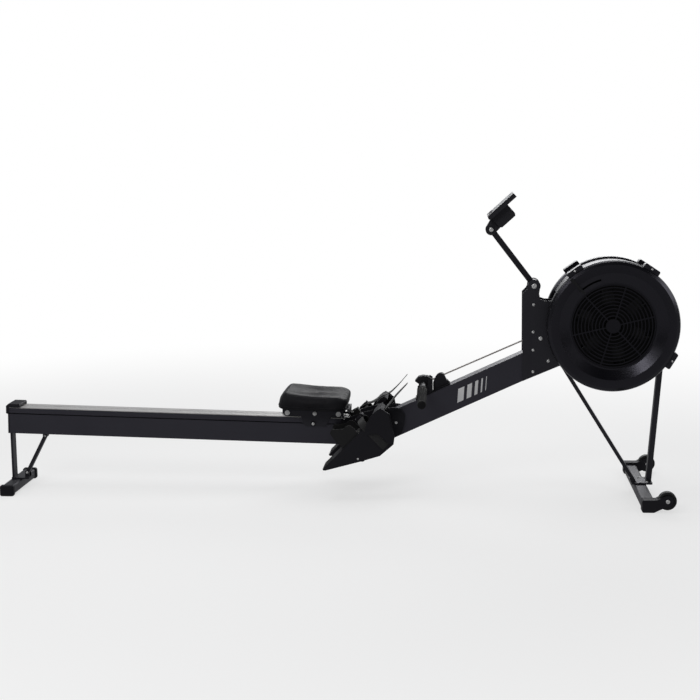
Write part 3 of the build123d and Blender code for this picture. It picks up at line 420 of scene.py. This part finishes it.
# ------------------------------------------------------------------ places, all in metres
RAIL_FALL = math.radians(1.714)
BOOM_RISE = math.radians(24.41)


def on_rail(u, v, y=0.0):
    """A point u mm along the rail and v mm above its underside, y mm off the machine's middle."""
    return Vector((u * math.cos(RAIL_FALL) + v * math.sin(RAIL_FALL), y,
                   175.06 - u * math.sin(RAIL_FALL) + v * math.cos(RAIL_FALL))) * MM


def on_boom(u, v, y=0.0):
    return Vector((153 + u * math.cos(BOOM_RISE) - v * math.sin(BOOM_RISE), y,
                   170.48 + u * math.sin(BOOM_RISE) + v * math.cos(BOOM_RISE))) * MM


BOARD_ALONG, BOARD_UP = heading(45), heading(135)


def on_board(t, y, n):
    return Vector((-0.033, 0, 0.112)) + BOARD_ALONG * t * MM + BOARD_UP * n * MM + Y_AXIS * y * MM


def smoothstep(low, high, value):
    f = min(1.0, max(0.0, (value - low) / (high - low)))
    return f * f * (3 - 2 * f)


# ------------------------------------------------------------------ mesh helpers
def finished(name, mesh, slot, body, replaces=(), angle=35.0, look=None):
    """Links one piece, gives it the material for its slot, and hangs it on its body."""
    obj = bpy.data.objects.new(name, mesh)
    scene.collection.objects.link(obj)
    mesh.materials.clear()
    mesh.materials.append(MATERIALS[look or slot])
    mesh.shade_smooth()
    mesh.set_sharp_from_angle(angle=math.radians(angle))
    if body:
        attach(obj, body)
    if replaces:
        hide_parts(*replaces)
    return obj


def to_mesh(builder, name):
    mesh = bpy.data.meshes.new(name)
    bmesh.ops.remove_doubles(builder, verts=builder.verts, dist=1e-6)
    bmesh.ops.recalc_face_normals(builder, faces=builder.faces)
    builder.to_mesh(mesh)
    builder.free()
    return mesh


def square_to(axis):
    """Two unit vectors square to the axis and to each other."""
    side = axis.cross(Vector((0.31, 0.22, 0.92))).normalized()
    return side, axis.cross(side)


def skin(builder, rings):
    """Joins a list of equal rings of points into a tube, with a cap on each end."""
    made = [[builder.verts.new(p) for p in ring] for ring in rings]
    size = len(rings[0])
    for first, second in zip(made, made[1:]):
        for i in range(size):
            j = (i + 1) % size
            builder.faces.new((first[i], first[j], second[j], second[i]))
    builder.faces.new(made[0][::-1])
    builder.faces.new(made[-1])


def lathe(builder, profile, origin, axis, segments):
    """Turns (radius, distance along the axis) points, in mm, round an axis into a closed skin."""
    axis = Vector(axis).normalized()
    side, other = square_to(axis)
    rings = []
    for radius, along in profile:
        centre = Vector(origin) + axis * along * MM
        rings.append([centre + (side * math.cos(a) + other * math.sin(a)) * max(radius, 0.02) * MM
                      for a in (2 * math.pi * i / segments for i in range(segments))])
    skin(builder, rings)


def block(builder, centre, axes, sizes, round_off):
    """A box with rounded edges: centre in metres, three unit axes, sizes in mm."""
    made = bmesh.ops.create_cube(builder, size=1.0)["verts"]
    for vert in made:
        local = vert.co.copy()
        vert.co = centre + sum((axis * local[i] * sizes[i] * MM for i, axis in enumerate(axes)), Vector())
    edges = {edge for vert in made for edge in vert.link_edges}
    bmesh.ops.bevel(builder, geom=list(edges), offset=round_off * MM, segments=3, affect="EDGES", profile=0.5,
                    clamp_overlap=True)


def curve_through(points, steps):
    """Points on a smooth curve through the given ones."""
    points = [Vector(p) for p in points]
    ends = [points[0] * 2 - points[1]] + points + [points[-1] * 2 - points[-2]]
    out = []
    for a, b, c, d in zip(ends, ends[1:], ends[2:], ends[3:]):
        for k in range(steps):
            f = k / steps
            out.append(0.5 * ((2 * b) + (c - a) * f + (2 * a - 5 * b + 4 * c - d) * f * f
                              + (3 * b - a - 3 * c + d) * f ** 3))
    out.append(points[-1])
    return out


def webbing(name, middle, across, width, thickness, body, replaces=()):
    """A flat strap along a curve; across gives the direction of its width at each point."""
    builder = bmesh.new()
    layer = builder.loops.layers.uv.new("strap")
    section = [(-0.5, -0.25), (-0.5, 0.25), (-0.46, 0.5), (-0.25, 0.5), (0, 0.5), (0.25, 0.5), (0.46, 0.5),
               (0.5, 0.25), (0.5, -0.25), (0.46, -0.5), (0.25, -0.5), (0, -0.5), (-0.25, -0.5), (-0.46, -0.5)]
    rings, travelled, run = [], [0.0], 0.0
    for i, point in enumerate(middle):
        forward = (middle[min(i + 1, len(middle) - 1)] - middle[max(i - 1, 0)]).normalized()
        wide = across[i] - forward * across[i].dot(forward)
        wide.normalize()
        normal = forward.cross(wide)
        rings.append([builder.verts.new(point + wide * a * width * MM + normal * b * thickness * MM)
                      for a, b in section])
        if i:
            run += (point - middle[i - 1]).length
            travelled.append(run)
    count = len(section)
    for k, (first, second) in enumerate(zip(rings, rings[1:])):
        for i in range(count):
            j = (i + 1) % count
            face = builder.faces.new((first[i], first[j], second[j], second[i]))
            for loop, (where, turn) in zip(face.loops, ((k, i), (k, j), (k + 1, j), (k + 1, i))):
                loop[layer].uv = (travelled[where], section[turn][0] * width * MM)
    builder.faces.new(rings[0][::-1])
    builder.faces.new(rings[-1])
    mesh = bpy.data.meshes.new(name)
    bmesh.ops.recalc_face_normals(builder, faces=builder.faces)
    builder.to_mesh(mesh)
    builder.free()
    return finished(name, mesh, "strap_fabric", body, replaces, angle=60)


def button_head(builder, place, outward, radius, height, washer=0.0):
    """A domed screw head with a hexagonal socket, on an optional washer."""
    outward = Vector(outward).normalized()
    side, other = square_to(outward)
    count = 36

    def ring(size, along, hexagon=False):
        out = []
        for i in range(count):
            a = 2 * math.pi * i / count
            reach = size
            if hexagon:
                part = (a % (math.pi / 3)) - math.pi / 6
                reach = size * math.cos(math.pi / 6) / math.cos(part)
            spoke = side * math.cos(a) + other * math.sin(a)
            out.append(Vector(place) + outward * along * MM + spoke * reach * MM)
        return out

    base = 0.0
    if washer:
        skin(builder, [ring(washer, 0), ring(washer, 0.7), ring(washer - 0.4, 1.0), ring(radius * 0.7, 1.0)])
        base = 0.9
    socket = radius * 0.52
    rings = [ring(radius * 0.8, base - 0.3), ring(radius, base), ring(radius, base + height * 0.25)]
    for f in (0.35, 0.6, 0.8, 0.93, 1.0):
        dome = socket + 0.25 + (radius - socket - 0.25) * (1 - f ** 1.8)
        rings.append(ring(dome, base + height * (0.25 + 0.75 * f)))
    rings += [ring(socket, base + height, True), ring(socket * 0.97, base + height * 0.35, True)]
    skin(builder, rings)


# ------------------------------------------------------------------ seat cushion
PAD_MIDDLE, PAD_LONG, PAD_WIDE = -75.0, 121.0, 129.0


def pad_top(u, y):
    """Height of the moulded top above the rail's underside, in mm."""
    p, q = (u - PAD_MIDDLE) / PAD_LONG, y / PAD_WIDE
    height = 186.5 - 0.042 * (u - PAD_MIDDLE) - 4.6 * (1 - p * p) - 1.5 * (1 - q * q)
    height -= 9.5 * math.exp(-((p + 0.10) / 0.58) ** 2 - ((abs(q) - 0.40) / 0.27) ** 2)
    height -= 4.5 * math.exp(-(q / 0.15) ** 2) * smoothstep(0.25, -0.9, p)
    height += 2.0 * math.exp(-(q / 0.20) ** 2) * smoothstep(-0.2, 0.6, p)
    height -= 4.5 * smoothstep(0.60, 1.0, p)
    height += 2.0 * smoothstep(-0.62, -0.95, p)
    return height


def pad_outline(angle, inset):
    c, s = math.cos(angle), math.sin(angle)
    power = 0.34
    return (PAD_MIDDLE + math.copysign(abs(c) ** power, c) * (PAD_LONG - inset),
            math.copysign(abs(s) ** power, s) * (PAD_WIDE - inset))


def pad_point(angle, inset, f):
    """A point of the cushion's skin: f is 0 at its base and 1 at its top. It leans forward as it rises."""
    u, y = pad_outline(angle, inset)
    low = 136.0 if inset > 10 and f <= 0 else 134.5
    return on_rail(u + 14.0 * (f - 0.5), low + (pad_top(u, y) - low) * f, y)


def cushion_mesh():
    builder = bmesh.new()
    count = 160
    angles = [2 * math.pi * (i + 0.5) / count for i in range(count)]
    rings = [[on_rail(pad_outline(a, inset)[0], 138.6, pad_outline(a, inset)[1]) for a in angles]
             for inset in (90, 60, 36, 16)]
    for inset, f in ((13.5, 0.03), (9, 0.0), (4, 0.0), (1.6, 0.025), (0.6, 0.09), (0, 0.22), (0, 0.40), (0.8, 0.58),
                     (2.2, 0.74), (3.8, 0.86), (5.6, 0.935), (8.2, 0.98), (11.5, 0.998), (16, 1.0), (22, 1.0),
                     (30, 1.0), (40, 1.0), (52, 1.0), (66, 1.0), (82, 1.0), (98, 1.0), (112, 1.0)):
        rings.append([pad_point(a, inset, f) for a in angles])
    skin(builder, rings)
    return to_mesh(builder, "cushion")


def evaluated_copy(obj):
    graph = bpy.context.evaluated_depsgraph_get()
    return bpy.data.meshes.new_from_object(obj.evaluated_get(graph))


def swell(obj, voxel, pressure, cap, frames):
    """Fills the form with air as cloth, keeps the move under cap, and leaves a plain mesh."""
    remesh = obj.modifiers.new("even", "REMESH")
    remesh.mode = "VOXEL"
    remesh.voxel_size = voxel
    bpy.context.view_layer.update()
    even = evaluated_copy(obj)
    obj.modifiers.clear()
    obj.data = even
    start = [v.co.copy() for v in even.vertices]
    cloth = obj.modifiers.new("cloth", "CLOTH")
    cloth.settings.quality = 5
    cloth.settings.mass = 0.3
    cloth.settings.tension_stiffness = 20
    cloth.settings.compression_stiffness = 20
    cloth.settings.bending_stiffness = 3
    cloth.settings.use_pressure = True
    cloth.settings.uniform_pressure_force = pressure
    cloth.settings.effector_weights.gravity = 0
    cloth.collision_settings.use_self_collision = False
    cloth.point_cache.frame_start = 1
    cloth.point_cache.frame_end = frames
    for number in range(1, frames + 1):
        scene.frame_set(number)
    result = evaluated_copy(obj)
    obj.modifiers.clear()
    for vert, moved, first in zip(even.vertices, result.vertices, start):
        move = moved.co - first
        keep = smoothstep(0.0, 0.006, first.z - on_rail(first.x / MM, 139.5).z)
        if move.length > cap:
            move *= cap / move.length
        vert.co = first + move * keep
    scene.frame_set(1)


cushion = finished("seat_cushion", cushion_mesh(), "seat_cover", None, angle=180)
swell(cushion, voxel=0.0045, pressure=4.0, cap=0.0025, frames=16)
cushion.data.materials.clear()
cushion.data.materials.append(MATERIALS["seat_cover"])
cushion.data.shade_smooth()
soften = cushion.modifiers.new("soften", "SMOOTH")
soften.factor = 0.5
soften.iterations = 3
fine = cushion.modifiers.new("fine", "SUBSURF")
fine.levels = fine.render_levels = 1
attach(cushion, "seat")
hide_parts("seat_pad")

# A moulded parting line runs round the cushion's skirt.
BEAD_STEPS, BEAD_SIDES, BEAD_RADIUS = 144, 8, 0.0019
Z_AXIS = Vector((0, 0, 1))
builder = bmesh.new()
loop_points = [pad_point(2 * math.pi * (i + 0.5) / BEAD_STEPS, 1.0, 0.20) for i in range(BEAD_STEPS)]
rings = []
for i, point in enumerate(loop_points):
    forward = (loop_points[(i + 1) % BEAD_STEPS] - loop_points[i - 1]).normalized()
    outward = forward.cross(Z_AXIS).normalized()
    rings.append([builder.verts.new(point + (outward * math.cos(a) + Z_AXIS * math.sin(a)) * BEAD_RADIUS)
                  for a in (2 * math.pi * k / BEAD_SIDES for k in range(BEAD_SIDES))])
for i in range(BEAD_STEPS):
    first, second = rings[i], rings[(i + 1) % BEAD_STEPS]
    for k in range(BEAD_SIDES):
        n = (k + 1) % BEAD_SIDES
        builder.faces.new((first[k], first[n], second[n], second[k]))
finished("cushion_bead", to_mesh(builder, "cushion_bead"), "seat_cover", "seat", angle=180)

# ------------------------------------------------------------------ carriage fittings
builder = bmesh.new()
for end in (-1, 1):
    button_head(builder, on_rail(-78, 73, end * 52.0), (0, end, 0), 5.2, 2.6)
    lathe(builder, ((6.5, -3), (7.6, 0), (7.6, 2.2), (6.4, 3.2), (3.0, 3.6), (0, 3.6)), on_rail(-73, 110, end * 48.2),
          (0, end, 0), 32)
finished("carriage_studs", to_mesh(builder, "carriage_studs"), "zinc", "seat")

# ------------------------------------------------------------------ foot straps, their ends and their cam buckles
STRAP_T = 214.5     # middle of each strap along its foot board
STRAP_PATH = ((171.6, -100), (171.8, -70), (171.6, -35), (171.3, -4), (168.5, 8.5), (160.5, 18.4), (142, 25.0),
              (116, 28.4), (92, 25.2), (73, 18.0), (62.5, 7.5), (60.4, -4), (60.3, -18))
for end, name in SIDES:
    middle = curve_through([on_board(STRAP_T, end * y, n) for y, n in STRAP_PATH], 7)
    webbing(f"foot_strap_{name}", middle, [BOARD_ALONG] * len(middle), 27, 2.3, "frame",
            ("foot_straps",) if end < 0 else ())
near_tail = [on_board(t, -95, n) for t, n in ((206, -24), (236, -22), (266, -19), (292, -12))]
near_tail += [Vector(p) * MM for p in ((205, -94.5, 338), (222, -94, 361), (243, -94.5, 384), (263, -96, 405))]
far_tail = [on_board(t, y, n) for t, y, n in ((207, 112, 38), (226, 108, 33), (247, 101, 22), (268, 97, 17),
                                              (290, 95, 15))]
far_tail += [Vector(p) * MM for p in ((190, 94, 338), (210, 94, 355), (232, 94, 378), (255, 95, 405))]
for name, points in (("near", near_tail), ("far", far_tail)):
    middle = curve_through(points, 7)
    across = []
    for i in range(len(middle)):
        f = i / (len(middle) - 1)
        sway = 0.16 * math.sin(3.2 * f + (0.6 if name == "far" else 0))
        across.append((Y_AXIS + heading(135) * sway).normalized())
    webbing(f"strap_end_{name}", middle, across, 26, 2.2, "frame")
frame_axes = (BOARD_ALONG, Y_AXIS, BOARD_UP)
for end, name in SIDES:
    builder = bmesh.new()
    for t in (198, 231):
        block(builder, on_board(t, end * 116, 34.5), frame_axes, (3, 28, 9), 0.8)
    for y in (103.5, 128.5):
        block(builder, on_board(STRAP_T, end * y, 31.8), frame_axes, (32, 3, 2.6), 0.7)
    tilt = math.radians(9) * end
    lever_y = (Y_AXIS * math.cos(tilt) - BOARD_UP * math.sin(tilt)).normalized()
    lever_n = BOARD_ALONG.cross(lever_y) * (1 if BOARD_ALONG.cross(lever_y).dot(BOARD_UP) > 0 else -1)
    lever_axes = (BOARD_ALONG, lever_y, lever_n)
    lever_middle = on_board(STRAP_T, end * 115, 37.2)
    block(builder, lever_middle, lever_axes, (28.5, 23, 2.6), 1.0)
    for k in range(5):
        block(builder, lever_middle + lever_y * (k * 3.4 - 6.8) * MM + lever_n * 1.5 * MM, lever_axes,
              (23, 1.3, 1.1), 0.4)
    lathe(builder, ((2.1, 0), (2.1, 35)), on_board(197, end * 124, 34.8), BOARD_ALONG, 20)
    finished(f"cam_buckle_{name}", to_mesh(builder, f"cam_buckle_{name}"), "black_plastic", "frame",
             ("strap_buckles",) if end < 0 else ())

# Raised tread bars on the foot boards, below the heel cups.
builder = bmesh.new()
for end in (-1, 1):
    for k in range(5):
        block(builder, on_board(10 + 8.5 * k, end * 116, 0.5), frame_axes, (3.4, 84 - 6 * (k % 2), 1.8), 0.6)
finished("board_tread", to_mesh(builder, "board_tread"), "black_rubber", "frame")

# ------------------------------------------------------------------ chain
CHAIN_RISE = 23.7                        # degrees
CHAIN_FROM_X, CHAIN_TO_X = 0.7227, 0.3478
START = Vector((CHAIN_FROM_X, 0, 0.5670))
CHAIN_WAY = -heading(CHAIN_RISE)
RUN = (CHAIN_FROM_X - CHAIN_TO_X) / math.cos(math.radians(CHAIN_RISE))
links = round(RUN / 0.00635)             # a quarter-inch pitch, evened out over the run
pitch = RUN / links
builder = bmesh.new()


def link_plate(first, second, y, thickness, tall):
    """One side plate, waisted between its two pin eyes."""
    way = (second - first).normalized()
    lift = way.cross(Y_AXIS).normalized()
    outline = []
    for i in range(8):
        a = math.radians(90 + 180 * i / 7)
        outline.append(first + way * math.cos(a) * tall + lift * math.sin(a) * tall)
    outline.append((first + second) / 2 - lift * tall * 0.72)
    for i in range(8):
        a = math.radians(-90 + 180 * i / 7)
        outline.append(second + way * math.cos(a) * tall + lift * math.sin(a) * tall)
    outline.append((first + second) / 2 + lift * tall * 0.72)
    skin(builder, [[p + Y_AXIS * (y - thickness / 2) for p in outline],
                   [p + Y_AXIS * (y + thickness / 2) for p in outline]])


def chain_along(points):
    """A roller chain: inner and outer link plates by turns, with a roller and a pin at each joint."""
    for i, (first, second) in enumerate(zip(points, points[1:])):
        y = 0.0030 if i % 2 else 0.0021
        for side in (-1, 1):
            link_plate(first, second, side * y, 0.0008, 0.0027)
        lathe(builder, ((1.7, -1.6), (1.7, 1.6)), first, Y_AXIS, 10)
        lathe(builder, ((1.1, -3.75), (1.1, 3.75)), first, Y_AXIS, 8)


chain_along([START + CHAIN_WAY * pitch * i for i in range(links + 1)])
chain = finished("drive_chain", to_mesh(builder, "drive_chain"), "chain_steel", None, ("chain_run",), angle=30)
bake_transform(chain)

# ------------------------------------------------------------------ handle grips
GRIP_REACH, GRIP_RISE, GRIP_RADIUS = 176, 34, 15.4
for end, name in SIDES:
    builder = bmesh.new()
    inward = Vector((0, -end * GRIP_REACH, GRIP_RISE)).normalized()
    tip = Vector((0.317, end * 0.236, 0.354))
    length = math.hypot(GRIP_REACH, GRIP_RISE) - 26
    profile = [(0, -5.2), (9.0, -5.2), (12.8, -4.4), (14.6, -2.6), (15.3, 0)]
    along = 1.5
    while along < length - 8:
        ripple = 0.45 if along < length - 34 and along > 6 else 0.0
        profile += [(GRIP_RADIUS, along), (GRIP_RADIUS - ripple, along + 1.2), (GRIP_RADIUS - ripple, along + 2.2),
                    (GRIP_RADIUS, along + 3.4)]
        along += 5.0
    profile += [(GRIP_RADIUS, length - 7), (14.9, length - 5), (13.6, length - 4), (11.1, length - 3.8)]
    lathe(builder, profile, tip, inward, 48)
    finished(f"grip_{name}", to_mesh(builder, f"grip_{name}"), "grip_rubber", "handle",
             ("handle_grips",) if end < 0 else (), angle=50)

# ------------------------------------------------------------------ bolts and screws
PLATE_FACE = 41.0                        # outer faces of the upright plates, mm off the middle
builder = bmesh.new()
for x, z in ((703, 674), (702, 578), (702, 514), (702, 437), (790, 481), (1150.2, 500)):
    for end in (-1, 1):
        button_head(builder, Vector((x, end * PLATE_FACE, z)) * MM, (0, end, 0), 5.0, 2.8, 7.0 if x > 780 else 0.0)
for x, z, radius in ((755, 475, 5.4), (728, 555, 7.2)):
    for end in (-1, 1):
        button_head(builder, Vector((x, end * PLATE_FACE, z)) * MM, (0, end, 0), radius, 3.4)
for end in (-1, 1):
    button_head(builder, Vector((705, end * PLATE_FACE, 739)) * MM, (0, end, 0), 9.2, 4.6)
    button_head(builder, Vector((220, end * 45, 254)) * MM, (0, end, 0), 4.8, 2.8)
    for x, z in ((35, 266.4), (40, 280)):
        button_head(builder, Vector((x, end * 45, z)) * MM, (0, end, 0), 2.9, 1.8)
    for x, z in ((-1140, 57), (-1067, 195)):
        button_head(builder, Vector((x, end * 13.3, z)) * MM, (0, end, 0), 4.6, 2.8)
    button_head(builder, Vector((1141, end * 300, 38)) * MM, (0, end, 0), 7.0, 3.0)
    lathe(builder, ((4.9, 0), (4.9, 39)), Vector((1.141, end * 0.2615, 0.038)), (0, end, 0), 24)
    for x in (1084, 1104):
        button_head(builder, Vector((x, end * 36, 41)) * MM, (0, 0, 1), 5.0, 2.8)
finished("machine_bolts", to_mesh(builder, "machine_bolts"), "zinc", "frame", ("frame_bolts",))

# The bolt that the monitor head tilts on.
builder = bmesh.new()
for end in (-1, 1):
    button_head(builder, Vector((556, end * 20.9, 935)) * MM, (0, end, 0), 7.4, 2.4)
finished("tilt_bolts", to_mesh(builder, "tilt_bolts"), "zinc", "arm")

# Screws in the cage's rim lugs and one in each foot shell.
builder = bmesh.new()
for end, angles in ((-1, ((125, 231.5), (57, 231.5), (-31, 231.5))),
                    (1, ((125, 231.5), (57, 231.5), (22, 229), (-31, 231.5)))):
    for angle, radius in angles:
        button_head(builder, AXLE + heading(angle) * (radius + 2.5) * MM + Y_AXIS * end * 0.1, (0, end, 0), 3.6, 2.4)
    button_head(builder, Vector((92, end * 170, 150)) * MM, (0, end, 0), 3.6, 2.2)
finished("case_screws", to_mesh(builder, "case_screws"), "zinc", "frame", ("cover_screws",))

# ------------------------------------------------------------------ plain stripes on the boom's sides
STRIPES = ((322, 346), (358, 376), (388, 400), (412, 418), (430, 433))
STRIPE_LOW, STRIPE_HIGH, STRIPE_LEAN = 23, 67, 24
for end, name in SIDES:
    builder = bmesh.new()
    for u0, u1 in STRIPES:
        corners = ((u0, STRIPE_LOW), (u1, STRIPE_LOW),
                   (u1 + STRIPE_LEAN, STRIPE_HIGH), (u0 + STRIPE_LEAN, STRIPE_HIGH))
        skin(builder, [[on_boom(u, v, end * y) for u, v in corners] for y in (35.0, 35.18)])
    finished(f"boom_stripes_{name}", to_mesh(builder, f"boom_stripes_{name}"), "frame_paint", "frame",
             look="stripe_paint")

# ------------------------------------------------------------------ CAD nodes that keep their shape
EDGE = {"monorail": 0.0012, "boom": 0.0025, "upright_plates": 0.0012, "rear_end_cap": 0.005, "rear_foot_caps": 0.002,
        "front_seat_stop": 0.003, "handle_rest": 0.003, "chain_guide": 0.006, "handle_yoke": 0.002,
        "joint_plates": 0.0012, "foot_boards": 0.002, "toe_shells": 0.0018, "wheel_brackets": 0.003,
        "monitor_case": 0.003, "monitor_back": 0.003, "monitor_arm": 0.0015, "rear_strut": 0.0015,
        "front_strut": 0.0025, "seat_carriage": 0.0006, "seat_pan": 0.002, "heel_cup_near": 0.001,
        "heel_cup_far": 0.001, "cage_cover_near": 0.001, "cage_cover_far": 0.001, "front_foot": 0.0006,
        "rear_stand": 0.0006, "rear_brace": 0.001, "damper": 0.0004, "cage_grilles": 0.0004}
SPECIAL = {"damper": "damper_finish", "chain_loop": "chain_loop_finish"}
slots = {part["node"]: part["material_slot"] for part in frame["record"]["subparts"]}
for name, obj in nodes.items():
    obj.data.materials.clear()
    obj.data.materials.append(MATERIALS[SPECIAL.get(name, slots[name])])
    if name in EDGE:
        edge = obj.modifiers.new("edges", "BEVEL")
        edge.width = EDGE[name]
        edge.segments = 3
        edge.limit_method = "ANGLE"
        edge.angle_limit = math.radians(32)
        edge.use_clamp_overlap = True
